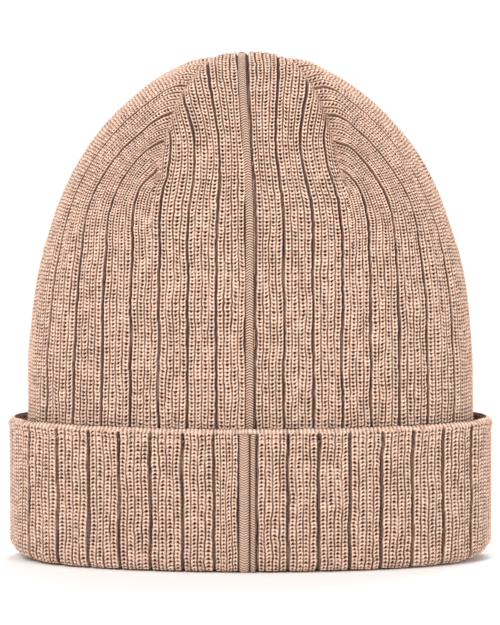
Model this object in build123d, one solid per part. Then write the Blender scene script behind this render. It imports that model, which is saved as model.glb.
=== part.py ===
"""Rib-knit beanie (watch cap) with a turned-up cuff, standing on its folded cuff.

Millimetres, +Z up, the origin at the centre of the mouth on the surface that the cuff stands on.
-Y is the back of the head, where the panel's seam runs from the cuff to the top.

The hat is one rib-knitted panel: the back seam closes it to a tube, four darts draw the top
together, and the lower end is folded outwards and up into a cuff. Every level is an ellipse,
because the empty hat stands half open. The folded-back leaf is cut from the rest at the fold,
so that the cuff and the crown are bodies of their own.
"""
from build123d import *
import math
import os

os.makedirs("parts", exist_ok=True)

# Whole hat
HAT_HEIGHT = 209.0

# Turned-up cuff: the outer leaf and the fold it stands on
CUFF_HALF_WIDTH = 100.0
CUFF_HALF_DEPTH = 46.0
CUFF_WALL = 4.4
CUFF_TOP = 54.0
FOLD_THICKNESS = 4.0
FOLD_ROUNDING = 3.5
FOLD_REACH = 6.0            # how far the fold turns in past the outer leaf, to the inner leaf
WELT_TOP = 58.6
WELT_PROUD = 0.4
WELT_ROUNDING = 2.0

# Crown: the inner leaf inside the cuff, then the rounded top
CROWN_HALF_WIDTH = 92.0
CROWN_HALF_DEPTH = 40.0
CROWN_WALL = 3.0
CROWN_BOTTOM = FOLD_THICKNESS + 0.3
CROWN_SPRING = 58.0         # level where the straight sides end and the top begins to close
TOP_SQUARENESS = 2.5        # exponent of the crown's outline: 2 is an ellipse, more is squarer

# Stitching that lies on the knit, and the seam allowances inside
STITCH_PROUD = 0.8
TACK_PROUD = 1.3
SEAM_WIDTH = 3.2
DART_WIDTH = 2.6
ALLOWANCE_THICKNESS = 2.5
ALLOWANCE_WIDTH = 6.0
DART_ALLOWANCE_WIDTH = 5.0

# Where the four darts meet, a little in front of the top, seen from above
TIP_Y = 16.0
TIP_RADIUS = 3.4
RIDGE_CROSSING_X = 16.0     # where the two back darts cross the top ridge
BACK_DART_END = (38.0, -27.0)
FRONT_DART_END = (34.0, 28.0)
TACK_LENGTH = 5.0
TACK_WIDTH = 3.4

# Care label: a blank folded tape that hangs in the back seam like a page
LABEL_LENGTH = 28.0
LABEL_HEIGHT = 36.0
LABEL_THICKNESS = 0.8
LABEL_BOTTOM = 15.0
LABEL_CLEARANCE = 0.3
LABEL_STITCHES = 5


def crown_solid(half_width, half_depth, top, bottom):
    """A closed-top body of elliptical plan: straight sides, then a rounded top."""
    rise = top - CROWN_SPRING
    steps = 10
    outline = []
    for step in range(steps + 1):
        angle = math.radians(90 * step / steps)
        height = rise * math.sin(angle) ** (2 / TOP_SQUARENESS)
        outline.append((half_width * math.cos(angle), CROWN_SPRING + height))
    outline[-1] = (0, top)
    with BuildPart() as body:
        with BuildSketch(Plane.XZ):
            with BuildLine():
                Polyline((0, top), (0, bottom), (half_width, bottom), (half_width, CROWN_SPRING))
                Spline(*outline, tangents=[(0, 1), (-1, 0)])
            make_face()
        revolve(axis=Axis.Z)
    return scale(body.part, by=(1, half_depth / half_width, 1))


def elliptical_drum(half_width, half_depth, bottom, top):
    """An upright solid of elliptical plan."""
    return extrude(Plane.XY.offset(bottom) * Ellipse(half_width, half_depth), top - bottom)


def crown_offset(distance):
    """The crown's outer form, grown (+) or shrunk (-) by a distance on every side."""
    return crown_solid(
        CROWN_HALF_WIDTH + distance,
        CROWN_HALF_DEPTH + distance,
        HAT_HEIGHT + distance,
        CROWN_BOTTOM,
    )


def plan_band(points, width):
    """A tall wall over a smooth line drawn in plan, to cut a band out of a skin."""
    with BuildSketch() as plan:
        with BuildLine() as line:
            Spline(*points) if len(points) > 2 else Line(*points)
        trace(line.line, line_width=width)
    return extrude(plan.sketch, HAT_HEIGHT + 2 * TACK_PROUD)


def joined(shape):
    """The one solid or the group of separate solids that a cut leaves."""
    solids = shape.solids()
    return solids[0] if len(solids) == 1 else Compound(children=solids)


# The cuff: the folded-back leaf, on the fold that the hat stands on
def make_cuff():
    leaf = elliptical_drum(CUFF_HALF_WIDTH, CUFF_HALF_DEPTH, 0, CUFF_TOP)
    lowest_edges = leaf.edges().sort_by(Axis.Z)[:1]
    leaf = fillet(lowest_edges, FOLD_ROUNDING)
    room = elliptical_drum(
        CUFF_HALF_WIDTH - CUFF_WALL, CUFF_HALF_DEPTH - CUFF_WALL, FOLD_THICKNESS, CUFF_TOP + 1
    )
    reach = CUFF_WALL + FOLD_REACH
    mouth = elliptical_drum(CUFF_HALF_WIDTH - reach, CUFF_HALF_DEPTH - reach, -1, CUFF_TOP)
    return leaf - room - mouth


def make_welt():
    outer = elliptical_drum(
        CUFF_HALF_WIDTH + WELT_PROUD, CUFF_HALF_DEPTH + WELT_PROUD, CUFF_TOP, WELT_TOP
    )
    inner = elliptical_drum(
        CUFF_HALF_WIDTH - CUFF_WALL, CUFF_HALF_DEPTH - CUFF_WALL, CUFF_TOP - 1, WELT_TOP + 1
    )
    ring = outer - inner
    top_edges = ring.edges().group_by(Axis.Z)[-1]
    return fillet(top_edges, WELT_ROUNDING)


def make_cuff_seam():
    outer = elliptical_drum(
        CUFF_HALF_WIDTH + STITCH_PROUD, CUFF_HALF_DEPTH + STITCH_PROUD, FOLD_ROUNDING, CUFF_TOP
    )
    inner = elliptical_drum(CUFF_HALF_WIDTH, CUFF_HALF_DEPTH, 0, CUFF_TOP + 1)
    middle = plan_band([(0, -2 * CUFF_HALF_DEPTH), (0, 0)], SEAM_WIDTH)
    return joined((outer - inner) & middle)


# The crown and the stitching that lies on it
crown_outer = crown_offset(0)
crown_inner = crown_offset(-CROWN_WALL)
stitch_skin = crown_offset(STITCH_PROUD) - crown_outer
tack_skin = crown_offset(TACK_PROUD) - crown_outer
tip_column = Pos(0, TIP_Y, 0) * extrude(Circle(TIP_RADIUS), HAT_HEIGHT + 2 * TACK_PROUD)

BACK_SEAM_LINE = [(0, -2 * CROWN_HALF_DEPTH), (0, TIP_Y)]
DART_ENDS = {
    "back_left": (-1, BACK_DART_END),
    "back_right": (1, BACK_DART_END),
    "front_left": (-1, FRONT_DART_END),
    "front_right": (1, FRONT_DART_END),
}


def dart_line(side, end):
    """A dart's line in plan, from the tip to its lower end. The back darts cross the ridge."""
    tip = (0, TIP_Y)
    if end[1] < 0:
        return [tip, (side * RIDGE_CROSSING_X, 0), (side * end[0], end[1])]
    return [tip, (side * end[0], end[1])]


def make_crown():
    opening = elliptical_drum(
        CROWN_HALF_WIDTH - CROWN_WALL, CROWN_HALF_DEPTH - CROWN_WALL, 0, CROWN_SPRING / 2
    )
    return crown_outer - crown_inner - opening


def make_back_seam():
    return joined((stitch_skin & plan_band(BACK_SEAM_LINE, SEAM_WIDTH)) - tip_column)


def crown_level(x, y):
    """The level of the crown's outer face over a point in plan."""
    share = 1 - (x / CROWN_HALF_WIDTH) ** 2 - (y / CROWN_HALF_DEPTH) ** 2
    return CROWN_SPRING + (HAT_HEIGHT - CROWN_SPRING) * share ** (1 / TOP_SQUARENESS)


def dart_tack_block(side, end):
    """The block over a dart's lower end that its bar tack is cut from."""
    x, y = side * end[0], end[1]
    return Pos(x, y, crown_level(x, y)) * Box(TACK_LENGTH, 4 * TACK_LENGTH, TACK_WIDTH)


def below_dart(side, end):
    """All the room below a dart's bar tack, and the tack's own."""
    x, y = side * end[0], end[1]
    top = crown_level(x, y) + TACK_WIDTH / 2
    return Pos(x, y, top / 2) * Box(4 * TACK_LENGTH, 4 * TACK_LENGTH, top)


def make_dart_seam(side, end):
    band = stitch_skin & plan_band(dart_line(side, end), DART_WIDTH)
    seam_middle = plan_band(BACK_SEAM_LINE, SEAM_WIDTH)
    return joined(band - tip_column - below_dart(side, end) - seam_middle)


def make_dart_tacks():
    tacks = [tack_skin & dart_tack_block(side, end) for side, end in DART_ENDS.values()]
    return Compound(children=[solid for tack in tacks for solid in tack.solids()])


def make_tip():
    return joined(tack_skin & tip_column)


# Inside: the seam allowances and the label
allowance_skin = crown_inner - crown_offset(-CROWN_WALL - ALLOWANCE_THICKNESS)


def make_back_allowance():
    strip = allowance_skin & plan_band([(0, -2 * CROWN_HALF_DEPTH), (0, 0)], ALLOWANCE_WIDTH)
    return joined(strip)


def make_dart_allowances():
    middle = plan_band([(0, -2 * CROWN_HALF_DEPTH), (0, 0)], ALLOWANCE_WIDTH)
    tip_room = Pos(0, TIP_Y, 0) * extrude(Circle(2 * TIP_RADIUS), HAT_HEIGHT)
    ridges = []
    for side, end in DART_ENDS.values():
        inner_end = (end[0] - CROWN_WALL, end[1] * (1 - CROWN_WALL / CROWN_HALF_DEPTH))
        ridge = allowance_skin & plan_band(dart_line(side, inner_end), DART_ALLOWANCE_WIDTH)
        ridges.extend((ridge - middle - tip_room).solids())
    return Compound(children=ridges)


label_hinge_y = -(CROWN_HALF_DEPTH - CROWN_WALL - ALLOWANCE_THICKNESS) + LABEL_CLEARANCE
label_hinge_y += LABEL_THICKNESS / 2


def make_label():
    """The folded tape, with both ends caught in the seam: a thin flap rounded at its fold."""
    start = 2 * LABEL_CLEARANCE
    middle = Pos((start + LABEL_LENGTH) / 2, label_hinge_y, LABEL_BOTTOM + LABEL_HEIGHT / 2)
    flap = middle * Box(LABEL_LENGTH - start, LABEL_THICKNESS, LABEL_HEIGHT)
    folded_edges = flap.faces().sort_by(Axis.X)[-1].edges().filter_by(Axis.Z)
    return fillet(folded_edges, LABEL_THICKNESS * 0.45)


def make_label_stitches():
    """Short thread bars that tie the flap's line to the seam allowance."""
    face_y = label_hinge_y - LABEL_THICKNESS / 2 - LABEL_CLEARANCE
    reach = label_hinge_y + LABEL_CLEARANCE - face_y
    pitch = LABEL_HEIGHT / LABEL_STITCHES
    bars = []
    for index in range(LABEL_STITCHES):
        z = LABEL_BOTTOM + pitch * (index + 0.5)
        bars.append(Pos(0, face_y + reach / 2, z) * Box(LABEL_CLEARANCE, reach, pitch / 2))
    return Compound(children=bars)


nodes = {
    "turn_up_cuff": make_cuff(),
    "cuff_edge_welt": make_welt(),
    "back_seam_cuff": make_cuff_seam(),
    "crown_knit": make_crown(),
    "back_seam_crown": make_back_seam(),
    "crown_tip_stitch": make_tip(),
    "dart_end_tacks": make_dart_tacks(),
    "back_seam_allowance": make_back_allowance(),
    "dart_seam_allowances": make_dart_allowances(),
    "care_label": make_label(),
    "label_anchor_stitches": make_label_stitches(),
}
for place, (side, end) in DART_ENDS.items():
    nodes["dart_seam_" + place] = make_dart_seam(side, end)

for name, shape in nodes.items():
    export_step(shape, f"parts/{name}.step")
    print(f"{name}: {len(shape.solids())} solid(s), {shape.volume:.1f} mm3")
print(f"label hinge line at y = {label_hinge_y:.2f}")
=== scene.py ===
"""Looks of the rib-knit beanie: the knit, seams, darts, edge roll and label around the CAD frame.

Lengths are in millimetres until a mesh is made. Knit is drawn from fabric coordinates: ribs round
the hat (each of four wales and a gutter) and courses along it, so every stitch is real relief.
"""
import math

import bpy
import numpy as np
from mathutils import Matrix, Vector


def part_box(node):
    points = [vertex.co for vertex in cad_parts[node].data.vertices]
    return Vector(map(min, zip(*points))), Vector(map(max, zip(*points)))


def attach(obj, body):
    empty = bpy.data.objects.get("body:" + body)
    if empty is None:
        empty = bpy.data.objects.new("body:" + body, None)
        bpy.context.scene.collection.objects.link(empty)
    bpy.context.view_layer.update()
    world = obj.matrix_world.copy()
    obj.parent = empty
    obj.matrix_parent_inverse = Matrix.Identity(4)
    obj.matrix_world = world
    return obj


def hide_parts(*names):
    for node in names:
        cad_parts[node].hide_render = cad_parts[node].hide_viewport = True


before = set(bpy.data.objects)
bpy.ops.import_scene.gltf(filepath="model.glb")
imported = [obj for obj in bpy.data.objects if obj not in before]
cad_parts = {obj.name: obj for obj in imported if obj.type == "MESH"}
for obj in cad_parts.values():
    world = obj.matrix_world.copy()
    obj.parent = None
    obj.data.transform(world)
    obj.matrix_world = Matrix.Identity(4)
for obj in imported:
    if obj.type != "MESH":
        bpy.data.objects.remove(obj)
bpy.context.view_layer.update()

MM = 0.001

# ---------------------------------------------------------------- sizes from the frame
crown_box = [np.array(corner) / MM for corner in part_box("crown_knit")]
cuff_box = [np.array(corner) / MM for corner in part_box("turn_up_cuff")]
welt_box = [np.array(corner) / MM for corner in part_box("cuff_edge_welt")]
tip_box = [np.array(corner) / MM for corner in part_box("crown_tip_stitch")]
label_box = [np.array(corner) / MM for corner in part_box("care_label")]
tip_radius = (tip_box[1][0] - tip_box[0][0]) / 2

CROWN_WIDE, CROWN_DEEP = crown_box[1][0], crown_box[1][1]
CROWN_LOW, CROWN_TOP = crown_box[0][2], crown_box[1][2]
CUFF_WIDE, CUFF_DEEP = cuff_box[1][0], cuff_box[1][1]
CUFF_TOP, WELT_TOP = cuff_box[1][2], welt_box[1][2]
SPRING = 58.0                # where the crown's straight sides end
SQUARENESS = 2.5             # exponent of the crown's outline
RISE = CROWN_TOP - SPRING
WALL = 3.0

# ---------------------------------------------------------------- the knit
WALES = 4                    # in each rib
RIBS_HALF = 17               # from the back seam round to the middle of the front
PITCH_SEEN = 12.8            # a rib's width as the flattened hat shows it from behind
PITCH_MOST = 15.2            # a rib's width where the knit turns round the side
SEAM_HALF = 2.1              # half the width of the back seam's valley on the crown
CUFF_SEAM = (4.9, 2.4)       # how far the cuff's seam valley reaches to the left and right
COURSE = 1.54
WALE_SAMPLES = 8
ROW_STEP = 0.40
FINE_ROW_STEP = 0.30         # where the wales run aslant to the rows
RELIEF = 1.0                 # how far a stitch's leg stands out of the knit
RIB_ARCH = 0.35              # how far a rib's middle stands out over its edges
SINK = 0.9                   # how far the knit's mean level lies under the CAD face
GUTTER_FACE = 0.055          # the gutter's share of a rib, on the crown
GUTTER_REVERSE = 0.070       # and on the cuff, which shows the knit's other side

# ---------------------------------------------------------------- darts, in plan
TIP_Y = (tip_box[0][1] + tip_box[1][1]) / 2
DART_BACK_END = (38.0, -27.0)
DART_FRONT_END = (34.0, 28.0)
RIDGE_CROSSING = 16.0        # how far from the middle the back darts cross the top ridge
BLEND_LEVELS = (124.0, 184.0)   # between these the wales leave the ring for their own gore
GORE_SECTION = 150.0         # the side gores keep the ribs' spacing at this level
GATHER = 2.5                 # how much more the outer wales are drawn in than the middle ones


def smoothstep(x):
    x = np.clip(x, 0, 1)
    return x * x * (3 - 2 * x)


def soft_noise(a, b, seed):
    """Smooth noise from -1 to 1 over two coordinates, with features one unit wide."""
    table = np.random.default_rng(seed).uniform(-1, 1, (97, 89))
    ia, ib = np.floor(a).astype(int), np.floor(b).astype(int)
    fa, fb = smoothstep(a - ia), smoothstep(b - ib)

    def at(i, j):
        return table[(ia + i) % 97, (ib + j) % 89]

    low = at(0, 0) * (1 - fa) + at(1, 0) * fa
    high = at(0, 1) * (1 - fa) + at(1, 1) * fa
    return low * (1 - fb) + high * fb


def per_stitch(wale, course, seed):
    """One random number from -1 to 1 for each stitch."""
    table = np.random.default_rng(seed).uniform(-1, 1, (251, 241))
    return table[wale.astype(int) % 251, course.astype(int) % 241]


# ---------------------------------------------------------------- ribs round an ellipse
angles = np.linspace(0, math.pi, 6001)
speed = np.hypot(CUFF_WIDE * np.cos(angles), CUFF_DEEP * np.sin(angles))
seen = np.maximum(np.abs(CUFF_WIDE * np.cos(angles)), 1e-6)
pitch = np.minimum(PITCH_SEEN * speed / seen, PITCH_MOST)
step = angles[1] - angles[0]
arc = np.concatenate([[0], np.cumsum((speed[1:] + speed[:-1]) / 2 * step)])
ribs = np.concatenate([[0], np.cumsum((speed / pitch)[1:] * step)])
ribs -= np.interp(SEAM_HALF, arc, ribs)
ribs *= RIBS_HALF / ribs[-1]


def rib_table(start):
    """The rib coordinate at each angle when the first rib starts this far from the seam."""
    first = np.interp(1, ribs, arc)
    return np.where(arc < first, (arc - start) / (first - start), ribs)


def rib_of_angle(a):
    return np.interp(a, angles, ribs)


def ring_columns(gutter, starts=(SEAM_HALF, SEAM_HALF)):
    """(angle, side, rib) of every column of a closed ring, from the back seam by the right."""
    steps = WALES * WALE_SAMPLES
    inside = gutter / 2 + (1 - gutter) * np.arange(0, steps + 1) / steps
    edge = gutter * np.array([0, 0.17, 0.34])
    one = np.concatenate([edge, inside, 1 - edge[:0:-1]])
    halves = []
    for start in starts:
        table = rib_table(start)
        seam = np.linspace(table[0], 0, 2 + int(start / 0.5))[:-1]
        u = np.concatenate([seam, (np.arange(RIBS_HALF)[:, None] + one).ravel(), [RIBS_HALF]])
        halves.append((np.interp(u, table, angles), u))
    (left_angle, left_u), (right_angle, right_u) = halves
    back = slice(-2, 0, -1)
    return (
        np.concatenate([right_angle, left_angle[back]]),
        np.concatenate([np.ones(len(right_u)), -np.ones(len(left_u) - 2)]),
        np.concatenate([right_u, left_u[back]]),
    )


# ---------------------------------------------------------------- stitch relief
def rib_relief(u, v, side, gutter, turned, seed):
    """(height, painted shade) of rib knit at rib coordinate u and course coordinate v: the lower a point
    lies, the more painted shade it gets, so holes and gutters read as shaded.

    turned is +1 where the V of a stitch opens upwards and -1 on the reverse leaf."""
    far = 40 * (side > 0)
    u = u + 0.040 * soft_noise(u * 2.3 + far, v / 8, seed)
    u = u + 0.016 * soft_noise(u * 3.7 + far, v / 1.6, seed + 1)
    v = v + 0.40 * soft_noise(u * 4 + far, v / 9, seed + 2)
    rib = np.floor(u)
    inside = (u - rib - gutter / 2) / (1 - gutter) * WALES
    wale = np.clip(np.floor(inside), 0, WALES - 1)
    across = np.clip(inside - wale, 0, 1)
    q = np.abs(across - 0.5) * 2
    wale_id = (rib * WALES + wale) * 2 + (side > 0)
    leg_phase = v - turned * 0.42 * q
    course = np.floor(leg_phase)
    along = leg_phase - course
    plump = np.clip(1 - (2 * along - 1) ** 2, 0, 1) ** 0.7
    uneven = per_stitch(wale_id * 2 + (across > 0.5), course, seed + 3)
    line = 0.55 + 0.45 * soft_noise(wale_id * 1.7 + 0.5 * (across > 0.5), v / 4, seed + 4)
    leg = 1 - 0.25 * smoothstep((0.30 - q) / 0.30) - (0.55 + 0.75 * line) * smoothstep((q - 0.52) / 0.48)
    height = leg * (0.36 + 0.64 * plump * (1 + 0.16 * uneven))
    hole_along = ((v + 0.5) % 1 - 0.5) / 0.36
    hole = np.exp(-((q / 0.42) ** 2) - hole_along ** 2)
    hole *= 0.95 + 0.40 * per_stitch(wale_id, np.floor(v + 0.5), seed + 5)
    height = height - 1.10 * hole

    middle = np.abs(u - np.round(u)) / (gutter / 2)
    rib_body = smoothstep((np.minimum(inside, WALES - inside) + 0.13) / 0.28)
    threads = np.cos(2 * math.pi * (v + 0.55 * side * np.clip(u - np.round(u), -1, 1) / gutter))
    open_share = 0.80 + 0.20 * soft_noise(np.round(u) * 3.3 + far, v / 6, seed + 6)
    valley = -0.45 - 0.85 * np.clip(1 - middle, 0, 1) ** 0.7 + (0.16 if turned < 0 else 0.06) * threads
    height = RELIEF * height * rib_body + valley * (1 - rib_body)
    # painted shade: the gutter between ribs is darkened, a little less on the threads that cross it
    thread_tone = 1 - (0.16 if turned < 0 else 0) * threads
    depth = (1 - rib_body) * np.clip(1.3 - middle, 0.6, 1) * open_share * thread_tone
    painted_shade = np.clip((0.92 - height / RELIEF) / 1.05, 0, 1) * rib_body + depth * 0.95
    arched = RIB_ARCH * (1 - np.clip(np.abs(inside / WALES - 0.5) * 2, 0, 1) ** 3)
    return height + arched, np.clip(painted_shade, 0, 1)


def with_seam(u, height, painted_shade, depth, tone):
    """The relief with the back seam's valley in it, where the rib coordinate is below zero; tone is the
    painted shade in the valley.
    """
    valley = smoothstep((-u) / 0.08)
    return height * (1 - valley) - depth * valley, painted_shade * (1 - valley) + tone * valley


# ---------------------------------------------------------------- the crown's form
def crown_scale(z):
    """How much smaller than at its base the crown's ellipse is at a level."""
    h = np.clip((z - SPRING) / RISE, 0, 1)
    return np.sqrt(np.clip(1 - h ** SQUARENESS, 0, 1))


def gathered(r, scale):
    """Where a wale lay at the base, when it lies at this share of the half width higher up.

    The middle wales run straight up and the outer ones take up the narrowing."""
    return r * (scale + (1 - scale) * r ** GATHER)


def gathered_angle(a, scale):
    """The angle at which the wale of base angle a lies where the crown has this scale."""
    base = np.sin(a)
    r = base
    for _ in range(8):
        r = base / (scale + (1 - scale) * r ** GATHER)
    turn = np.arcsin(np.clip(r, 0, 1))
    return np.where(a > math.pi / 2, math.pi - turn, turn)


def crown_level(x, y):
    """The level of the crown's face over a point in plan."""
    share = 1 - (x / CROWN_WIDE) ** 2 - (y / CROWN_DEEP) ** 2
    return SPRING + RISE * np.clip(share, 0, 1) ** (1 / SQUARENESS)


def crown_normal(x, y, z):
    h = np.clip((z - SPRING) / RISE, 0, 1)
    up = SQUARENESS * h ** (SQUARENESS - 1) / RISE
    n = np.stack([2 * x / CROWN_WIDE ** 2, 2 * y / CROWN_DEEP ** 2, up], -1)
    return n / np.linalg.norm(n, axis=-1, keepdims=True)


# The outline seen from behind, and the profile through the middle, by their run from the base
fine = np.linspace(0, math.pi / 2, 4000)
outline_x = CROWN_WIDE * np.cos(fine)
outline_z = SPRING + RISE * np.sin(fine) ** (2 / SQUARENESS)
outline_run = np.concatenate([[0], np.cumsum(np.hypot(np.diff(outline_x), np.diff(outline_z)))])
outline_slope = np.abs(np.gradient(outline_x, outline_z + 1e-9 * np.arange(len(outline_z))))
middle_y = CROWN_DEEP * np.cos(fine)
middle_run = np.concatenate([[0], np.cumsum(np.hypot(np.diff(middle_y), np.diff(outline_z)))])


def seam_lean(z):
    """How far the back seam and the wales beside it lean to the left towards the top."""
    return -3.4 * smoothstep((z - 140) / 76)


def dart_back_x(y):
    """The back darts' distance from the middle, by depth: through tip, ridge and end."""
    ex, ey = DART_BACK_END
    c = (RIDGE_CROSSING * (1 - ey / TIP_Y) - ex) / (-(ey ** 2) + ey * TIP_Y)
    b = -(RIDGE_CROSSING + c * TIP_Y ** 2) / TIP_Y
    return RIDGE_CROSSING + b * y + c * y ** 2


def dart_points(side, back, count=160):
    """Points on the crown's face along a dart, from the tip down to its end."""
    if back:
        y = np.linspace(TIP_Y, DART_BACK_END[1], count)
        x = side * dart_back_x(y)
    else:
        y = np.linspace(TIP_Y, DART_FRONT_END[1], count)
        x = side * (y - TIP_Y) * DART_FRONT_END[0] / (DART_FRONT_END[1] - TIP_Y)
    return np.stack([x, y, crown_level(x, y)], -1)


DARTS = {
    "back_left": (-1, True), "back_right": (1, True),
    "front_left": (-1, False), "front_right": (1, False),
}


def nearest(points, line):
    """(distance, run, index) of the nearest place on a line, for each of many points."""
    run = np.concatenate([[0], np.cumsum(np.linalg.norm(np.diff(line, axis=0), axis=1))])
    tangent = np.gradient(line, axis=0)
    tangent /= np.linalg.norm(tangent, axis=1, keepdims=True)
    index = np.empty(len(points), int)
    for start in range(0, len(points), 8000):
        part = points[start:start + 8000]
        square = (line ** 2).sum(1)[None, :] - 2 * part @ line.T
        index[start:start + 8000] = square.argmin(1)
    offset = points - line[index]
    beyond = (offset * tangent[index]).sum(1)
    beyond = np.clip(beyond, -1.5, 1.5)
    distance = np.sqrt(np.clip((offset ** 2).sum(1) - beyond ** 2, 0, None))
    return distance, run[index] + beyond, index


def crown_fabric(x, y, z, u, side):
    """(rib, course, side) coordinates on the crown. Above the darts' ends each gore has its own."""
    v = np.where(z < SPRING, z - SPRING, np.interp(z, outline_z, outline_run)) / COURSE
    high = z > BLEND_LEVELS[0]
    xs, ys, zs, us, vs = x[high], y[high], z[high], u[high], v[high]
    sides = side[high]

    # A side gore's wales run beside the outline, so they are told by their distance from it
    line = np.stack([outline_x, outline_z], -1)[::6]
    apart, line_run, _ = nearest(np.stack([np.abs(xs), zs], -1), line)
    apart = apart / (1 + 0.16 * smoothstep((zs - GORE_SECTION) / 45))
    scale = crown_scale(GORE_SECTION)
    wide = CROWN_WIDE * scale
    aslant = math.cos(math.atan(float(np.interp(GORE_SECTION, outline_z, outline_slope))))
    turn = np.arcsin(gathered(np.clip(1 - apart / (aslant * wide), 0, 1), scale))
    u_side = np.where(ys < 0, rib_of_angle(turn), rib_of_angle(math.pi - turn))
    v_side = line_run / COURSE

    fan = 1 - 0.16 * smoothstep((zs - 132) / 36) + 0.22 * smoothstep((zs - 172) / 34)
    shifted = xs - seam_lean(zs) * np.exp(-((ys - TIP_Y).clip(0) / 3))
    turn = np.arcsin(np.clip(np.abs(shifted) / fan / CROWN_WIDE, 0, 1))
    run = np.interp(zs, outline_z, middle_run)
    over = 2 * middle_run[-1] - run
    in_back = (ys < TIP_Y) & (np.abs(xs) < dart_back_x(ys))
    in_front = (ys >= TIP_Y) & (
        np.abs(xs) < (ys - TIP_Y) * DART_FRONT_END[0] / (DART_FRONT_END[1] - TIP_Y))
    u_middle = np.where(in_front, rib_of_angle(math.pi - turn), rib_of_angle(turn))
    v_middle = np.where((ys > 0) & in_back, over, run) / COURSE
    middle = in_back | in_front

    share = smoothstep((zs - BLEND_LEVELS[0]) / (BLEND_LEVELS[1] - BLEND_LEVELS[0]))
    new_u = us * (1 - share) + np.where(middle, u_middle, u_side) * share
    new_v = vs * (1 - share) + np.where(middle, v_middle, v_side) * share
    u, v, side = u.copy(), v.copy(), side.copy()
    u[high], v[high] = new_u, new_v
    side[high] = np.where(in_back, np.sign(shifted), sides)
    return u, v, side


def crown_form(points):
    """Slack and dart creases: how far each point of the crown's face is moved along its normal."""
    x, y, z = points.T
    move = 0.9 * soft_noise(x / 34 + 9, z / 40 + (y > 0) * 17, 11) * smoothstep((z - 60) / 30)
    relief = np.ones(len(points))
    high = z > 120
    some = points[high]
    dip, flat = np.zeros(len(some)), np.ones(len(some))
    for name, (side, back) in DARTS.items():
        line = dart_points(side, back)
        apart, _, index = nearest(some, line)
        apart = np.hypot(apart, 0.4)
        along = index / (len(line) - 1)
        deep = {"back_right": 3.4, "back_left": 1.7}.get(name, 1.8)
        depth = deep * smoothstep((along - 0.30 * back) / 0.35) * smoothstep((1 - along) / 0.10 + 0.35)
        dip -= (depth + 0.5) * np.exp(-((apart / 2.4) ** 2))
        dip += 0.30 * depth * np.exp(-(((apart - 6.0) / 3.2) ** 2))
        flat *= 1 - 0.6 * np.exp(-((apart / 1.2) ** 2))
    pucker = np.array([-DART_BACK_END[0], DART_BACK_END[1], crown_level(*DART_BACK_END)])
    apart = np.linalg.norm(some - pucker, axis=1)
    dip += 1.6 * np.exp(-(((apart - 7) / 3.5) ** 2)) - 2.2 * np.exp(-((apart / 3.5) ** 2))
    move[high] += dip
    relief[high] *= flat
    return move, relief


# ---------------------------------------------------------------- meshes
def grid_faces(rows, columns, start=0):
    """Quads of a grid that closes round, row after row."""
    i = np.arange(rows - 1)[:, None] * columns
    j = np.arange(columns)
    k = (j + 1) % columns
    quads = np.stack([i + j, i + k, i + columns + k, i + columns + j], -1)
    return quads.reshape(-1, 4) + start


def make_object(name, points, quads, triangles=None, painted_shade=None, uv=None, material=None):
    """A smooth mesh from arrays: points in millimetres, its faces, and the knit's attributes."""
    triangles = np.zeros((0, 3), int) if triangles is None else triangles
    mesh = bpy.data.meshes.new(name)
    mesh.vertices.add(len(points))
    mesh.vertices.foreach_set("co", (np.asarray(points) * MM).astype(np.float32).ravel())
    loops = np.concatenate([quads.ravel(), triangles.ravel()]).astype(np.int32)
    starts = np.concatenate([
        np.arange(len(quads)) * 4, len(quads) * 4 + np.arange(len(triangles)) * 3]).astype(np.int32)
    mesh.loops.add(len(loops))
    mesh.loops.foreach_set("vertex_index", loops)
    mesh.polygons.add(len(starts))
    mesh.polygons.foreach_set("loop_start", starts)
    mesh.update(calc_edges=True)
    mesh.polygons.foreach_set("use_smooth", np.ones(len(starts), bool))
    # painted shade: a value from 0 to 1 on each point, which the knit's material turns into darker colour
    if painted_shade is not None:
        layer = mesh.attributes.new("painted_shade", "FLOAT", "POINT")
        layer.data.foreach_set("value", np.asarray(painted_shade, np.float32))
    if uv is not None:
        layer = mesh.uv_layers.new(name="OFBake")
        layer.data.foreach_set("uv", uv(loops).astype(np.float32).ravel())
    mesh.validate()
    made = bpy.data.objects.new(name, mesh)
    bpy.context.scene.collection.objects.link(made)
    if material is not None:
        mesh.materials.append(material)
    return made


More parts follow.
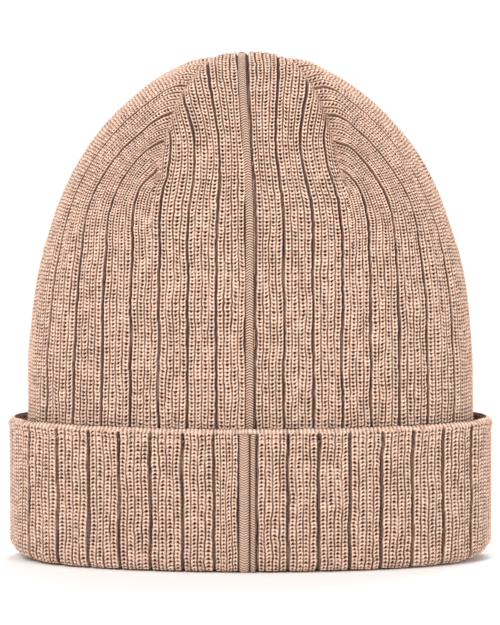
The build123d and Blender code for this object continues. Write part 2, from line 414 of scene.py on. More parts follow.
# ---------------------------------------------------------------- materials
def knit_material(name, light, painted_shade_colour):
    """Matt yarn coloured from pale to near black by the mesh's painted shade, with mottling and fine fibres.
    """
    material = bpy.data.materials.new(name)
    material.use_nodes = True
    nodes, links = material.node_tree.nodes, material.node_tree.links
    shader = nodes["Principled BSDF"]
    shader.inputs["Roughness"].default_value = 0.92
    shader.inputs["Specular IOR Level"].default_value = 0.18
    shader.inputs["Sheen Weight"].default_value = 0.10
    shader.inputs["Sheen Roughness"].default_value = 0.5
    shader.inputs["Sheen Tint"].default_value = (1.0, 0.86, 0.76, 1)
    # painted shade: the mesh's value goes through a ramp from the pale yarn colour to the near-black of full
    # shade
    painted_shade = nodes.new("ShaderNodeAttribute")
    painted_shade.attribute_name = "painted_shade"
    ramp = nodes.new("ShaderNodeValToRGB")
    stops = ramp.color_ramp.elements
    stops[0].position, stops[0].color = 0.0, (*light, 1)
    stops[1].position, stops[1].color = 1.0, (*painted_shade_colour, 1)
    for place, share in ((0.25, 0.11), (0.50, 0.56), (0.74, 0.92)):
        stop = stops.new(place)
        stop.color = (*[a * (1 - share) + b * share for a, b in zip(light, painted_shade_colour)], 1)
    links.new(painted_shade.outputs["Fac"], ramp.inputs["Fac"])
    place = nodes.new("ShaderNodeTexCoord")
    mottle = nodes.new("ShaderNodeTexNoise")
    mottle.inputs["Scale"].default_value = 420
    mottle.inputs["Detail"].default_value = 4
    links.new(place.outputs["Object"], mottle.inputs["Vector"])
    tone = nodes.new("ShaderNodeMapRange")
    tone.inputs["From Min"].default_value = 0.3
    tone.inputs["From Max"].default_value = 0.7
    tone.inputs["To Min"].default_value = 0.90
    tone.inputs["To Max"].default_value = 1.08
    links.new(mottle.outputs["Fac"], tone.inputs["Value"])
    shade = nodes.new("ShaderNodeMix")
    shade.data_type = "RGBA"
    shade.blend_type = "MULTIPLY"
    shade.inputs["Factor"].default_value = 1
    links.new(ramp.outputs["Color"], shade.inputs["A"])
    links.new(tone.outputs["Result"], shade.inputs["B"])
    links.new(shade.outputs["Result"], shader.inputs["Base Color"])
    fibres = nodes.new("ShaderNodeTexNoise")
    fibres.inputs["Scale"].default_value = 2600
    fibres.inputs["Detail"].default_value = 3
    fibres.inputs["Roughness"].default_value = 0.7
    links.new(place.outputs["Object"], fibres.inputs["Vector"])
    bump = nodes.new("ShaderNodeBump")
    bump.inputs["Strength"].default_value = 0.35
    bump.inputs["Distance"].default_value = 0.0004
    links.new(fibres.outputs["Fac"], bump.inputs["Height"])
    links.new(bump.outputs["Normal"], shader.inputs["Normal"])
    return material


# the yarn's own pale colour, and the near-black colour of the deepest painted shade in the holes and gutters
LIGHT_YARN = (0.88, 0.612, 0.478)
YARN_IN_PAINTED_SHADE = (0.070, 0.024, 0.011)
face_knit = knit_material("rib_knit_face", LIGHT_YARN, YARN_IN_PAINTED_SHADE)
reverse_knit = knit_material("rib_knit_reverse", LIGHT_YARN, YARN_IN_PAINTED_SHADE)
seam_yarn = knit_material("seam_yarn", tuple(c * 0.72 for c in LIGHT_YARN), YARN_IN_PAINTED_SHADE)
tack_yarn = knit_material("tack_yarn", tuple(c * 0.55 for c in LIGHT_YARN), YARN_IN_PAINTED_SHADE)
allowance_yarn = knit_material("allowance_yarn", tuple(c * 0.90 for c in LIGHT_YARN), YARN_IN_PAINTED_SHADE)
tape = knit_material("label_satin", (0.86, 0.83, 0.77), (0.4, 0.36, 0.3))
label_thread = knit_material("label_thread", (0.80, 0.74, 0.66), (0.3, 0.25, 0.2))


# ---------------------------------------------------------------- crown
def closed_shell_uv(outer_rows, inner_rows, columns):
    """UVs of a shell of two grids of the same columns: the outer one above, the inner below."""
    outer_share = 0.72

    def uv(loops):
        row, column = loops // columns, loops % columns
        inner = row >= outer_rows
        v = np.where(
            inner,
            (row - outer_rows) / max(inner_rows, 1) * (0.98 - outer_share) + outer_share + 0.01,
            row / outer_rows * outer_share,
        )
        u = column / columns
        return np.stack([u, v], -1)

    return uv


def make_crown():
    a, side, u = ring_columns(GUTTER_FACE)
    columns = len(a)
    low = CROWN_LOW + 0.3
    straight = np.arange(low, SPRING, ROW_STEP)
    fine_from = np.interp(BLEND_LEVELS[0] + 10, outline_z, outline_run)
    runs = np.concatenate([
        np.arange(0, fine_from, ROW_STEP), np.arange(fine_from, outline_run[-1] - 0.2, FINE_ROW_STEP)])
    levels = np.concatenate([straight, np.interp(runs, outline_run, outline_z)])
    scales = np.concatenate([np.ones(len(straight)), np.interp(runs, outline_run, outline_x) / CROWN_WIDE])
    rows = len(levels)
    drawn = gathered_angle(a[None, :], np.clip(scales, crown_scale(GORE_SECTION), 1)[:, None])
    x = (CROWN_WIDE * scales[:, None] * np.sin(drawn) * side).ravel()
    y = (-CROWN_DEEP * scales[:, None] * np.cos(drawn)).ravel()
    z = np.repeat(levels, columns)
    base = np.stack([x, y, z], -1)
    normal = crown_normal(x, y, z)
    fu, fv, fside = crown_fabric(x, y, z, np.tile(u, rows), np.tile(side, rows))
    height, painted_shade = rib_relief(fu, fv, fside, GUTTER_FACE, 1, 21)
    # the seam's valley: 0.9 deep, with painted shade of 0.7
    height, painted_shade = with_seam(fu, height, painted_shade, 0.9, 0.7)
    move, relief = crown_form(base)
    outer = base + normal * (move + height * relief - SINK)[:, None]

    tip = outer[-columns:].mean(0)
    # The inner face has a quarter of the rows and a lower relief
    inner_rows = np.linspace(0, rows - 1, rows // 4).round().astype(int)[::-1]
    pick = (inner_rows[:, None] * columns + np.arange(columns)).ravel()
    inside = base[pick] + normal[pick] * (move[pick] - WALL - 0.3)[:, None]
    inner_height, inner_painted_shade = rib_relief(
        np.tile(u, len(inner_rows)), z[pick] / COURSE, np.tile(side, len(inner_rows)), GUTTER_REVERSE, -1, 31)
    inside = inside - normal[pick] * (inner_height * 0.3)[:, None]
    # The rim stands on the cuff's fold, so it rises with it
    lift = corner_lift(np.tile(a, rows), z)
    outer[:, 2] += lift
    inside[:, 2] += lift[pick]
    inner_tip = inside[:columns].mean(0)

    # Order: outer rows up to the tip, then inner rows from the top down to the rim
    quads_outer = grid_faces(rows, columns)
    start = rows * columns
    quads_inner = grid_faces(len(inner_rows), columns, start)
    rim_inner = start + (len(inner_rows) - 1) * columns + np.arange(columns)
    rim_outer = np.arange(columns)
    nxt = (np.arange(columns) + 1) % columns
    quads_rim = np.stack([rim_inner, rim_inner[nxt], rim_outer[nxt], rim_outer], -1)
    points = np.concatenate([outer, inside, [tip], [inner_tip]])
    tip_index, inner_tip_index = len(points) - 2, len(points) - 1
    top_row = (rows - 1) * columns + np.arange(columns)
    top_inner = start + np.arange(columns)
    triangles = np.concatenate([
        np.stack([top_row, top_row[nxt], np.full(columns, tip_index)], -1),
        np.stack([top_inner[nxt], top_inner, np.full(columns, inner_tip_index)], -1),
    ])
    quads = np.concatenate([quads_outer, quads_inner, quads_rim])
    # painted shade of both faces from their relief, and 0.3 at the two tip points
    all_painted_shade = np.concatenate([painted_shade, inner_painted_shade, [0.3, 0.3]])
    return make_object(
        "crown_rib_knit", points, quads, triangles, all_painted_shade,
        closed_shell_uv(rows, len(inner_rows), columns), face_knit)


# ---------------------------------------------------------------- cuff
FOLD = 5.0                   # radius of the cuff's lower fold
CUFF_FACE = 0.9              # insets from the CAD's outer face: the layer's own face,
CUFF_BACK = 4.4              # and its back, beside the crown
CORNER_RISE = 3.8            # how far the fold rises where it turns round the sides
CORNER_SPREAD = 0.34         # over how wide an angle it does so, in radians
CORNER_TOP = 26.0            # the level above which nothing is lifted


def corner_lift(a, z):
    """The fold rises a little where it turns round the sides."""
    side = np.exp(-((a - math.pi / 2) / CORNER_SPREAD) ** 2)
    return CORNER_RISE * side * (1 - smoothstep(z / CORNER_TOP))


def resampled(profile, spacing):
    """Points at even spacing along a line of (inset, level) points, and their runs."""
    profile = np.array(profile, float)
    run = np.concatenate([[0], np.cumsum(np.linalg.norm(np.diff(profile, axis=0), axis=1))])
    even = np.linspace(0, run[-1], max(2, int(run[-1] / spacing)))
    return np.stack([np.interp(even, run, profile[:, k]) for k in range(2)], -1), even


def arc_points(centre, radius, start, end, count=10):
    turns = np.radians(np.linspace(start, end, count))
    return [(centre[0] - radius * math.cos(t), centre[1] + radius * math.sin(t)) for t in turns]


def ring_mesh(name, profile_outer, profile_inner, relief_of, material):
    """A closed ring: a finely knitted outer run and a plain inner run back to its start."""
    a, side, u = ring_columns(GUTTER_REVERSE, CUFF_SEAM)
    columns = len(a)
    outer, run = resampled(profile_outer, ROW_STEP)
    inner, _ = resampled(profile_inner, 4 * ROW_STEP)
    inner = inner[1:-1]
    profile = np.concatenate([outer, inner])
    rows = len(profile)
    tangent = np.gradient(np.concatenate([profile[-1:], profile, profile[:1]]), axis=0)[1:-1]
    tangent /= np.linalg.norm(tangent, axis=1, keepdims=True)
    inset = np.repeat(profile[:, 0], columns)
    level = np.repeat(profile[:, 1], columns)
    out_share = np.repeat(-tangent[:, 1], columns)
    up_share = np.repeat(-tangent[:, 0], columns)
    aa, ss, uu = np.tile(a, rows), np.tile(side, rows), np.tile(u, rows)
    plan_normal = np.stack([np.sin(aa) / CUFF_WIDE, -np.cos(aa) / CUFF_DEEP], -1)
    plan_normal /= np.linalg.norm(plan_normal, axis=1, keepdims=True)
    x = (CUFF_WIDE * np.sin(aa)) - plan_normal[:, 0] * inset
    y = (-CUFF_DEEP * np.cos(aa)) - plan_normal[:, 1] * inset
    height, painted_shade = relief_of(uu, np.concatenate([run, np.zeros(len(inner))]).repeat(columns), ss, level)
    is_inner = np.repeat(np.arange(rows) >= len(outer), columns)
    height = np.where(is_inner, 0, height)
    # the plain inner run, beside the crown, gets an even painted shade of 0.4
    painted_shade = np.where(is_inner, 0.4, painted_shade)
    x = x + plan_normal[:, 0] * out_share * height
    y = y + plan_normal[:, 1] * out_share * height
    z = level + up_share * height + corner_lift(aa, level)
    points = np.stack([x * ss, y, z], -1)
    quads = grid_faces(rows, columns)[:, ::-1]
    last = (rows - 1) * columns + np.arange(columns)
    nxt = (np.arange(columns) + 1) % columns
    closing = np.stack([last, last[nxt], nxt, np.arange(columns)], -1)[:, ::-1]

    def uv(loops):
        return np.stack([(loops % columns) / columns, (loops // columns) / rows], -1)

    return make_object(name, points, np.concatenate([quads, closing]), None, painted_shade, uv, material)


def make_cuff():
    """The turned-up layer, from its top down its face and round the fold to the inside."""
    outer = [(CUFF_FACE, CUFF_TOP), (CUFF_FACE, FOLD)]
    outer += arc_points((CUFF_FACE + FOLD, FOLD), FOLD, 0, -90)
    outer += [(9.4, 0.0), (10.0, 0.6)]
    inner = [(10.0, 0.6), (10.2, 2.4), (9.4, 3.8), (5.6, 4.0), (CUFF_BACK, 5.4)]
    inner += [(CUFF_BACK, CUFF_TOP), (CUFF_FACE, CUFF_TOP)]

    def relief_of(u, run, side, level):
        height, painted_shade = rib_relief(u, -run / COURSE, side, GUTTER_REVERSE, -1, 51)
        # the seam's valley: 0.7 deep, with painted shade of 0.65
        height, painted_shade = with_seam(u, height, painted_shade, 0.7, 0.65)
        under = smoothstep((1.8 - level) / 2.0)
        return height * (1 - 0.85 * under) - 0.4 * under - 0.3, painted_shade

    return ring_mesh("cuff_rib_knit", outer, inner, relief_of, reverse_knit)


def make_welt():
    """The rolled upper edge, from the crown's side over the top and down the face."""
    middle = (CUFF_TOP + WELT_TOP) / 2
    outer = arc_points((2.6, middle + 0.25), 2.3, 172, 5, 18)
    outer += [(0.8, CUFF_TOP + 0.5), (CUFF_FACE, CUFF_TOP), (3.3, CUFF_TOP - 1.2)]
    inner = [outer[-1], (3.9, CUFF_TOP - 1.2), (CUFF_BACK, CUFF_TOP), outer[0]]
    _, along = resampled(outer, ROW_STEP)

    def relief_of(u, run, side, level):
        rise = along[-1] - run
        height, painted_shade = rib_relief(u, (rise - 2.1) / COURSE, side, GUTTER_REVERSE, -1, 51)
        # the seam's valley: 0.5 deep, with painted shade of 0.4
        height, painted_shade = with_seam(u, height, painted_shade, 0.5, 0.4)
        over = smoothstep((level - WELT_TOP + 2.2) / 1.2)
        # Painted shade over the roll: darker between the loops, with random variation, and much darker on the
        # roll's back towards the crown, so the join to the crown reads as a dark line.
        wales = np.cos(2 * math.pi * u * WALES * 2)
        loops = 0.10 - 0.20 * wales + 0.2 * soft_noise(u * 3, run, 55)
        tone = 0.38 + 0.16 * soft_noise(u * 9, run * 1.4, 56) + 0.18 * wales
        tone = np.clip(tone + 0.6 * smoothstep((rise - 8.4) / 0.6), 0, 1)
        return height * (1 - over) + loops * over - 0.3, painted_shade * (1 - over) + tone * over

    return ring_mesh("cuff_edge_roll", outer, inner, relief_of, reverse_knit)


# ---------------------------------------------------------------- stitching on and in the crown
SEAM_STEP = 0.17             # spacing of the rows along a seam's stitches
SEAM_DEPTH = 0.9             # how far a crown seam's band reaches under the path it follows
ALLOWANCE_STEP = 0.4
ALLOWANCE_DEPTH = 0.6
ALLOWANCE_HEIGHT = 2.5
TACK_THREADS = 6


def level_path(points, spacing):
    """Points at even spacing along a line on the crown's face, and the face's normals there."""
    run = np.concatenate([[0], np.cumsum(np.linalg.norm(np.diff(points, axis=0), axis=1))])
    even = np.linspace(0, run[-1], int(run[-1] / spacing))
    path = np.stack([np.interp(even, run, points[:, k]) for k in range(3)], -1)
    return path, crown_normal(*path.T), even


def strip(path, normal, even, offsets, height_of, depth):
    """The form of a closed band along a path: relief on its face, its back depth under the path."""
    tangent = np.gradient(path, axis=0)
    across = np.cross(tangent, normal)
    across /= np.linalg.norm(across, axis=1, keepdims=True)
    rows, columns = len(path), len(offsets) + 2
    height, painted_shade = height_of(offsets[None, :], even[:, None])
    height = np.concatenate([height, np.full((rows, 2), -depth)], 1)
    # the band's two back columns get an even painted shade of 0.5
    painted_shade = np.concatenate([np.broadcast_to(painted_shade, (rows, len(offsets))), np.full((rows, 2), 0.5)], 1)
    sideways = np.concatenate([offsets, [offsets[-1], offsets[0]]])
    points = (
        path[:, None, :] + across[:, None, :] * sideways[None, :, None]
        + normal[:, None, :] * height[:, :, None]).reshape(-1, 3)
    quads = grid_faces(rows, columns)
    ends = [points[:columns].mean(0), points[-columns:].mean(0)]
    ring = np.arange(columns)
    nxt = (ring + 1) % columns
    last = (rows - 1) * columns
    count = len(points)
    triangles = np.concatenate([
        np.stack([ring[nxt], ring, np.full(columns, count)], -1),
        np.stack([last + ring, last + nxt, np.full(columns, count + 1)], -1),
    ])
    return (
        np.concatenate([points, ends]), quads, triangles,
        np.concatenate([painted_shade.ravel(), [0.4, 0.4]]))


def bundle(name, forms, material):
    """One mesh of several separate closed forms, each (points, quads, triangles, painted shade)."""
    points, quads, triangles, painted_shade, start = [], [], [], [], 0
    for p, q, t, c in forms:
        points.append(p)
        quads.append(q + start)
        triangles.append(t + start)
        painted_shade.append(c)
        start += len(p)
    return make_object(
        name, np.concatenate(points), np.concatenate(quads), np.concatenate(triangles),
        np.concatenate(painted_shade), None, material)


def seam_face(half, pitch, seed):
    """Relief of a seam's band: fine slanting stitches that meet in a chevron, with painted shade between the
    stitches and towards the band's edges.
    """
    def height_of(offset, along):
        wander = 0.25 * soft_noise(along / 6 + 0 * offset, offset, seed)
        hatch = np.cos(2 * math.pi * (along / pitch + wander + 0.9 * np.abs(offset) / half))
        crown = np.sqrt(np.clip(1 - (offset / (half * 1.04)) ** 2, 0, 1))
        return 0.05 + 0.62 * crown + 0.18 * hatch, np.clip(0.50 - 0.40 * hatch - 0.12 * crown, 0, 1)
    return height_of


def dome_line(x_of, y):
    """Points on the crown's face over a line in plan."""
    level = crown_level(0, y) if np.isscalar(x_of) else crown_level(x_of, y)
    return np.stack([np.broadcast_to(x_of, y.shape), y, level], -1)


def make_crown_seam():
    upright = np.linspace(CROWN_LOW + 0.3, SPRING, 60)[:-1]
    over = np.linspace(-math.pi / 2, math.asin(TIP_Y / CROWN_DEEP), 700)
    y = CROWN_DEEP * np.sin(over)
    points = np.concatenate([
        np.stack([0 * upright, 0 * upright - CROWN_DEEP, upright], -1), dome_line(0.0, y)])
    path, normal, even = level_path(points, SEAM_STEP)
    lean = seam_lean(path[:, 2]) * np.where(path[:, 1] > 0, smoothstep((TIP_Y - path[:, 1]) / TIP_Y), 1)
    path[:, 0] = lean - 0.35
    move, _ = crown_form(path)
    path = path + normal * (move - SINK)[:, None]
    half = 1.55
    band = strip(
        path, normal, even, np.linspace(-half, half, 17), seam_face(half, 1.05, 61), SEAM_DEPTH)
    return bundle("crown_back_seam", [band], seam_yarn)


def make_cuff_seam():
    profile = [(0.5, CUFF_TOP + 2.7), (CUFF_FACE, CUFF_TOP), (CUFF_FACE, FOLD)]
    profile += arc_points((CUFF_FACE + FOLD, FOLD), FOLD, 0, -62)
    face, even = resampled(profile, SEAM_STEP)
    path = np.stack([np.full(len(face), -1.35), -(CUFF_DEEP - face[:, 0]), face[:, 1]], -1)[::-1]
    tangent = np.gradient(path, axis=0)
    normal = np.cross(tangent, [1.0, 0, 0])
    normal *= -np.sign(normal[:, 1:2]) / np.linalg.norm(normal, axis=1, keepdims=True)

    def height_of(offset, along):
        left = np.clip((offset + 1.25) / 2.05, -1, 1)
        right = np.clip((offset - 2.35) / 1.05, -1, 1)
        wide = np.sqrt(np.clip(1 - left ** 2, 0, 1))
        narrow = np.sqrt(np.clip(1 - right ** 2, 0, 1))
        wander = 0.3 * soft_noise(along / 7 + 0 * offset, offset / 2, 63)
        hatch = np.cos(2 * math.pi * (along + wander - 0.9 * np.abs(left)))
        slant = np.cos(2 * math.pi * (along + wander + 0.5 * right))
        ridge = np.where(offset < 1.0, wide * (0.62 + 0.15 * hatch), narrow * (0.5 + 0.15 * slant))
        # painted shade between the slanting stitches and in the gap between the two ridges
        tone = np.where(offset < 1.0, 0.36 - 0.30 * hatch, 0.40 - 0.30 * slant)
        gap = np.clip(1 - np.maximum(wide, narrow), 0, 1) ** 2
        return ridge - 0.45 * gap, np.clip(tone + 0.5 * gap, 0, 1)

    band = strip(path, normal, even, np.linspace(-3.3, 3.4, 33), height_of, 1.0)
    return bundle("cuff_back_seam", [band], seam_yarn)


def make_dart_seam(name, side, back):
    points = dart_points(side, back, 400)
    beyond_tip = np.linalg.norm(points[:, :2] - [0, TIP_Y], axis=1) > tip_radius
    above_tack = points[:, 2] > points[-1, 2] + 1.0
    path, normal, even = level_path(points[beyond_tip & above_tack], SEAM_STEP)
    move, _ = crown_form(path)
    path = path + normal * (move - SINK)[:, None]

    def height_of(offset, along):
        whip = np.cos(2 * math.pi * (along / 1.15 + 0.28 * offset))
        crown = np.sqrt(np.clip(1 - (offset / 0.95) ** 2, 0, 1))
        # painted shade between the whip stitches and towards the band's edges
        return 0.05 + crown * (0.42 + 0.22 * whip), np.clip(0.58 - 0.26 * whip - 0.1 * crown, 0, 1)

    band = strip(path, normal, even, np.linspace(-0.9, 0.9, 11), height_of, SEAM_DEPTH)
    return bundle(name, [band], seam_yarn)


def tube(points, radius, sides=10, ply=0.10, turns=0.9):
    """(points, quads, triangles, painted shade) of a two-ply thread along a line, rounded at its ends; the
    painted shade darkens the grooves between the plies.
    """
    points = np.asarray(points, float)
    run = np.concatenate([[0], np.cumsum(np.linalg.norm(np.diff(points, axis=0), axis=1))])
    tangent = np.gradient(points, axis=0)
    tangent /= np.linalg.norm(tangent, axis=1, keepdims=True)
    rough = np.where(np.abs(tangent[:, :1]) < 0.8, [[1.0, 0, 0]], [[0, 0, 1.0]])
    first = np.cross(tangent, rough)
    first /= np.linalg.norm(first, axis=1, keepdims=True)
    second = np.cross(tangent, first)
    turn = np.linspace(0, 2 * math.pi, sides, endpoint=False)
    ends = np.clip(np.minimum(run, run[-1] - run) / radius, 0, 1)
    size = radius * np.sqrt(np.clip(1 - (1 - ends) ** 2, 0.09, 1))
    swell = 1 + ply * np.cos(2 * turn[None, :] - run[:, None] / radius * turns)
    ring = (
        first[:, None, :] * np.cos(turn)[None, :, None] + second[:, None, :] * np.sin(turn)[None, :, None]
    ) * (size[:, None] * swell)[:, :, None]
    grid = (points[:, None, :] + ring).reshape(-1, 3)
    rows = len(points)
    quads = grid_faces(rows, sides)
    j = np.arange(sides)
    k = (j + 1) % sides
    count = len(grid)
    triangles = np.concatenate([
        np.stack([k, j, np.full(sides, count)], -1),
        np.stack([(rows - 1) * sides + j, (rows - 1) * sides + k, np.full(sides, count + 1)], -1)])
    # painted shade in the grooves between the two plies
    painted_shade = np.clip(0.25 - 1.6 * (swell - 1), 0, 1).ravel()
    return (
        np.concatenate([grid, points[:1], points[-1:]]), quads, triangles,
        np.concatenate([painted_shade, [0.3, 0.3]]))


def make_tacks():
    """A bar tack over each dart's lower end: short threads laid side by side over the crease."""
    threads = []
    jitter = np.random.default_rng(71)
    for side, back in DARTS.values():
        end = dart_points(side, back)[-1:]
        normal = crown_normal(*end.T)[0]
        move, _ = crown_form(end)
        across = np.array([1.0, 0, 0]) - normal * normal[0]
        across /= np.linalg.norm(across)
        down = np.cross(normal, across)
        middle = end[0] + normal * (move[0] - SINK + 0.60)
        for k in range(TACK_THREADS):
            half = 1.4 + 0.3 * jitter.uniform(-1, 1)
            slant = 0.18 * jitter.uniform(-1, 1)
            t = np.linspace(-1, 1, 22)[:, None]
            place = middle + down * (k - (TACK_THREADS - 1) / 2) * 0.46 + down * slant * t
            arch = normal * 0.6 * (1 - np.abs(t) ** 2.4)
            threads.append(tube(place + across * half * t + arch, 0.27))
    return bundle("dart_end_bar_tacks", threads, tack_yarn)


def make_tip():
    """The gathered rosette where the darts meet: loops drawn into the middle."""
    rings, columns = 22, 120
    radii = np.linspace(0.25, tip_radius, rings)
    turn = np.linspace(0, 2 * math.pi, columns, endpoint=False)
    r, t = radii[:, None], turn[None, :]
    loops = np.abs(np.cos(7 * t + 0.55 * r))
    swell = np.sqrt(np.clip(1 - (r / (tip_radius * 1.02)) ** 2, 0, 1))
    height = 0.25 + swell * (0.75 + 0.40 * loops) - 1.1 * np.exp(-((r / 0.8) ** 2))
    x, y = (r * np.cos(t)).ravel(), TIP_Y + (r * np.sin(t)).ravel()
    base = np.stack([x, y, crown_level(x, y)], -1)
    normal = crown_normal(*base.T)
    middle = np.array([[0, TIP_Y, crown_level(0, TIP_Y)]])
    move, _ = crown_form(middle)
    face = base + normal * (move[0] - SINK + height.ravel())[:, None]
    under = face[-columns:] - normal[-columns:] * 1.6
    points = np.concatenate([face, under, [face[:columns].mean(0)], [under.mean(0)]])
    quads = grid_faces(rings + 1, columns)
    j = np.arange(columns)
    k = (j + 1) % columns
    count = len(points)
    triangles = np.concatenate([
        np.stack([k, j, np.full(columns, count - 2)], -1),
        np.stack([rings * columns + j, rings * columns + k, np.full(columns, count - 1)], -1)])
    # painted shade: the loops' raised parts lighter, the drawn-in middle and the underside darker
    tone = (0.55 - 0.35 * loops * np.ones_like(r) + 0.4 * np.exp(-((r / 0.8) ** 2))).ravel()
    painted_shade = np.clip(np.concatenate([tone, np.full(columns, 0.6), [0.8, 0.6]]), 0, 1)
    return make_object(
        "crown_tip_rosette", points, quads[:, ::-1], triangles[:, ::-1], painted_shade, None, seam_yarn)


def allowance_face(half, thickness, seed):
    """Relief of a seam allowance: two cut edges, wrapped in the loops of an overlock thread, with painted
    shade between the loops and in the split between the edges.
    """
    def height_of(offset, along):
        share = np.clip(np.abs(offset) / half, 0, 1)
        body = thickness * (1 - share ** 3.2) * 0.78
        wrap = np.cos(2 * math.pi * (along / 2.2 + 0.20 * offset))
        fray = 0.12 * soft_noise(along / 0.9 + 0 * offset, offset * 1.6, seed)
        split = -0.5 * np.exp(-((offset / 0.35) ** 2))
        return 0.1 + body + 0.16 * wrap + fray + split, np.clip(0.42 - 0.2 * wrap - 0.5 * split, 0, 1)
    return height_of


def make_back_allowance():
    upright = np.linspace(CROWN_LOW + 0.8, SPRING, 60)[:-1]
    over = np.linspace(-math.pi / 2, -0.12, 500)
    points = np.concatenate([
        np.stack([0 * upright, 0 * upright - CROWN_DEEP, upright], -1),
        dome_line(0.0, CROWN_DEEP * np.sin(over))])
    path, normal, even = level_path(points, ALLOWANCE_STEP)
    move, _ = crown_form(path)
    path = path + normal * (move - WALL - 0.1)[:, None]
    half = 2.9
    face = allowance_face(half, ALLOWANCE_HEIGHT, 81)
    ridge = strip(path, -normal, even, np.linspace(-half, half, 21), face, ALLOWANCE_DEPTH)
    return bundle("back_seam_overlock", [ridge], allowance_yarn)


def dart_allowance(side, back):
    points = dart_points(side, back, 400)
    clear_of_tip = np.linalg.norm(points[:, :2] - [0, TIP_Y], axis=1) > 2.2 * tip_radius
    clear_of_seam = np.abs(points[:, 0]) > 5.8
    path, normal, even = level_path(points[clear_of_tip & clear_of_seam], ALLOWANCE_STEP)
    move, _ = crown_form(path)
    return path + normal * (move - WALL - 0.1)[:, None], -normal, even


def make_dart_allowances():
    half = 2.4
    face = allowance_face(half, ALLOWANCE_HEIGHT, 83)
    ridges = []
    for side, back in DARTS.values():
        path, normal, even = dart_allowance(side, back)
        ridges.append(strip(path, normal, even, np.linspace(-half, half, 17), face, ALLOWANCE_DEPTH))
    return bundle("dart_seam_overlocks", ridges, allowance_yarn)


# ---------------------------------------------------------------- care label
def make_label():
    """A blank tape folded double, its two cut ends in the seam; it bows a little to the inside."""
    x0, x1 = label_box[0][0], label_box[1][0]
    hinge = (label_box[0][1] + label_box[1][1]) / 2
    z0, z1 = label_box[0][2], label_box[1][2]
    thick, gap = 0.26, 0.20
    steps, rows_high = 60, 73
    turn = np.linspace(-math.pi / 2, math.pi / 2, 9)
    out = np.linspace(x0, x1 - gap - thick / 2, steps)
    line_x = np.concatenate([out, x1 - gap - thick / 2 + gap * np.cos(turn), out[::-1]])
    line_y = np.concatenate([np.full(steps, -gap), gap * np.sin(turn), np.full(steps, gap)])
    bow = 0.88 * smoothstep((line_x - x0 - 1) / (x1 - x0))
    line_y = line_y + bow + hinge
    way = np.gradient(np.stack([line_x, line_y], -1), axis=0)
    way /= np.linalg.norm(way, axis=1, keepdims=True)
    rows = np.linspace(0, 1, rows_high)
    count = len(line_x)
    z = z0 + (z1 - z0) * rows
    selvedge = np.minimum(rows, 1 - rows) * (z1 - z0)
    half = thick / 2 + 0.05 * np.exp(-((selvedge / 0.7) ** 2)) + 0.012 * np.cos(2 * math.pi * z / 0.9)
    ripple = 0.18 * np.sin(z / 6.5)
    grids = []
    for face in (1, -1):
        px = line_x[None, :] + face * way[None, :, 1] * half[:, None]
        py = line_y[None, :] - face * way[None, :, 0] * half[:, None]
        py = py + ripple[:, None] * smoothstep((line_x - x0) / (x1 - x0))[None, :]
        grids.append(np.stack([px, py, np.broadcast_to(z[:, None], px.shape)], -1).reshape(-1, 3))
    points = np.concatenate(grids)
    size = rows_high * count
    i, j = np.meshgrid(np.arange(rows_high - 1), np.arange(count - 1), indexing="ij")
    a = (i * count + j).ravel()
    face_quads = np.stack([a, a + 1, a + count + 1, a + count], -1)
    quads = [face_quads, face_quads[:, ::-1] + size]
    j = np.arange(count - 1)
    quads.append(np.stack([j + 1, j, size + j, size + j + 1], -1))
    top = (rows_high - 1) * count
    quads.append(np.stack([top + j, top + j + 1, size + top + j + 1, size + top + j], -1))
    i = np.arange(rows_high - 1) * count
    quads.append(np.stack([i, i + count, size + i + count, size + i], -1))
    last = i + count - 1
    quads.append(np.stack([last + count, last, size + last, size + last + count], -1))
    return make_object(
        "care_label_tape", points, np.concatenate(quads), None, np.full(len(points), 0.1), None, tape)


def make_label_stitches():
    """Short bars of thread that hold the tape's ends in the seam."""
    hinge = (label_box[0][1] + label_box[1][1]) / 2
    low, high = label_box[0][2], label_box[1][2]
    count = 5
    threads = []
    for k in range(count):
        z = low + (high - low) * (k + 0.5) / count
        t = np.linspace(-1, 1, 20)[:, None]
        line = np.concatenate([
            0.15 + 0.08 * (1 - t ** 2), hinge - 0.10 + 0.22 * (1 - t ** 2), z + 2.0 * t], 1)
        threads.append(tube(line, 0.17, 8, 0.16))
        t = np.linspace(0, 1, 14)[:, None]
        for end in (-2.0, 2.0):
            line = np.concatenate([0.15 + 0 * t, hinge - 0.78 + 0.70 * t, z + end + 0 * t], 1)
            threads.append(tube(line, 0.17, 8, 0.16))
    return bundle("label_seam_stitches", threads, label_thread)


PIECES = [
    (make_crown(), "crown_knit", "crown_knit", "crown"),
    (make_cuff(), "turn_up_cuff", "cuff_knit", "cuff"),
    (make_welt(), "cuff_edge_welt", "cuff_knit", "cuff"),
    (make_crown_seam(), "back_seam_crown", "seam_stitching", "crown"),
    (make_cuff_seam(), "back_seam_cuff", "seam_stitching", "cuff"),
    (make_tacks(), "dart_end_tacks", "seam_stitching", "crown"),
    (make_tip(), "crown_tip_stitch", "seam_stitching", "crown"),
    (make_back_allowance(), "back_seam_allowance", "seam_allowance", "crown"),
    (make_dart_allowances(), "dart_seam_allowances", "seam_allowance", "crown"),
    (make_label(), "care_label", "label_tape", "label"),
    (make_label_stitches(), "label_anchor_stitches", "label_thread", "crown"),
]
for place, (side, back) in DARTS.items():
    piece = make_dart_seam("dart_" + place, side, back)
    PIECES.append((piece, "dart_seam_" + place, "seam_stitching", "crown"))
for piece, node, slot, body in PIECES:
    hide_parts(node)
    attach(piece, body)


# ---------------------------------------------------------------- stage, light, camera
def plain_material(name, colour, roughness):
    material = bpy.data.materials.new(name)
    material.use_nodes = True
    shader = material.node_tree.nodes["Principled BSDF"]
    shader.inputs["Base Color"].default_value = (*colour, 1)
    shader.inputs["Roughness"].default_value = roughness
    shader.inputs["Specular IOR Level"].default_value = 0.1
    return material


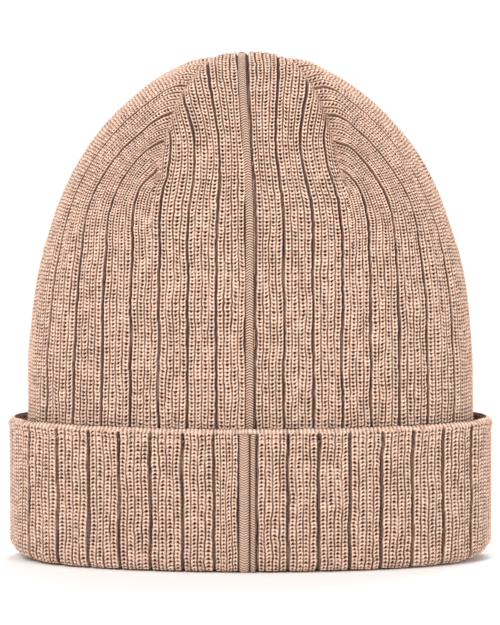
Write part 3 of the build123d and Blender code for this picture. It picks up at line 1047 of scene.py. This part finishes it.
def make_stage():
    """A pale floor that sweeps up behind the hat."""
    profile = [(-3.0, 0.0), (1.2, 0.0)] + [
        (1.2 + 0.8 * math.sin(t), 0.8 - 0.8 * math.cos(t)) for t in np.linspace(0.1, math.pi / 2, 12)]
    profile.append((2.0, 3.5))
    points = [(x, y, z) for y, z in profile for x in (-3.0, 3.0)]
    faces = [(2 * i, 2 * i + 1, 2 * i + 3, 2 * i + 2) for i in range(len(profile) - 1)]
    mesh = bpy.data.meshes.new("floor")
    mesh.from_pydata(points, [], faces)
    mesh.polygons.foreach_set("use_smooth", np.ones(len(faces), bool))
    floor = bpy.data.objects.new("floor", mesh)
    mesh.materials.append(plain_material("pale_floor", (0.93, 0.93, 0.93), 0.9))
    bpy.context.scene.collection.objects.link(floor)


def soft_light(name, place, target, size, power):
    lamp = bpy.data.lights.new(name, "AREA")
    lamp.shape = "DISK"
    lamp.size = size
    lamp.energy = power
    made = bpy.data.objects.new(name, lamp)
    bpy.context.scene.collection.objects.link(made)
    made.location = place
    direction = Vector(target) - Vector(place)
    made.rotation_euler = direction.to_track_quat("-Z", "Y").to_euler()


make_stage()
soft_light("key", (-0.75, -1.3, 1.15), (0, 0, 0.1), 0.8, 21)
soft_light("fill", (1.1, -1.2, 0.6), (0, 0, 0.1), 1.2, 9)
soft_light("back", (0.3, 1.0, 1.5), (0, 0, 0.1), 1.2, 18)

world = bpy.data.worlds.new("studio")
world.use_nodes = True
world.node_tree.nodes["Background"].inputs["Color"].default_value = (1, 1, 1, 1)
world.node_tree.nodes["Background"].inputs["Strength"].default_value = 0.62
bpy.context.scene.world = world
bpy.context.scene.view_settings.view_transform = "Standard"

CAMERA_DISTANCE = 1.60
CAMERA_ELEVATION = math.radians(5.5)
AIM = Vector((-0.0002, 0, 0.1017))
SENSOR = 36.0                # the sensor's height and the lens, both in millimetres
LENS = 223.1424
camera_data = bpy.data.cameras.new("camera")
camera_data.sensor_fit = "VERTICAL"
camera_data.sensor_height = SENSOR
camera_data.lens = LENS
camera = bpy.data.objects.new("camera", camera_data)
bpy.context.scene.collection.objects.link(camera)
away = Vector((0, -math.cos(CAMERA_ELEVATION), math.sin(CAMERA_ELEVATION)))
camera.location = AIM + away * CAMERA_DISTANCE
camera.rotation_euler = (-away).to_track_quat("-Z", "Y").to_euler()
bpy.context.scene.camera = camera
